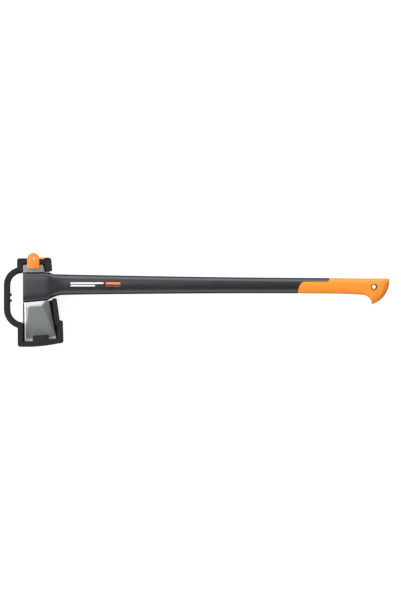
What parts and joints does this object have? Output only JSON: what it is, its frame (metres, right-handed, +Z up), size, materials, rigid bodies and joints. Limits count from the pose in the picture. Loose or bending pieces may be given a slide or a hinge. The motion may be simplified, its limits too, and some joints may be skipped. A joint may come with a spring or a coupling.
{
  "type": "splitting maul",
  "caption": "Long-handled splitting maul with a wedge head, hooked knob grip and a locking carry sheath with a turning latch.",
  "frame": {"origin": "middle of the bounding box in X and Y, on the lowest point of the tool lying on its side", "axes": "+X along the handle from the head to the knob, +Y from the cutting edge to the poll, +Z up, square to the cheeks"},
  "size_m": [0.9634, 0.2348, 0.052],
  "materials": {
    "forged_steel": "ground and clear coated, polished along the edge",
    "handle_composite": "satin glass-fibre composite",
    "soft_grip": "matt soft grip",
    "hole_liner": "satin",
    "sheath_plastic": "fine moulded texture",
    "latch_plastic": "satin moulded"
  },
  "bodies": {
    "maul": {"maul_head": "forged_steel", "handle_shell": "handle_composite", "handle_end_plug": "handle_composite", "handle_grip": "soft_grip", "hanging_hole_liner": "hole_liner", "sheath_frame": "sheath_plastic"},
    "latch": {"sheath_latch": "latch_plastic", "latch_retaining_ring": "sheath_plastic"}
  },
  "joints": [
    {"name": "latch_turn", "type": "hinge", "parent": "maul", "child": "latch", "pos_m": [-0.40759, 0.10415, 0.046], "axis": [0, 0, 1], "range_deg": [0, 90]}
  ]
}
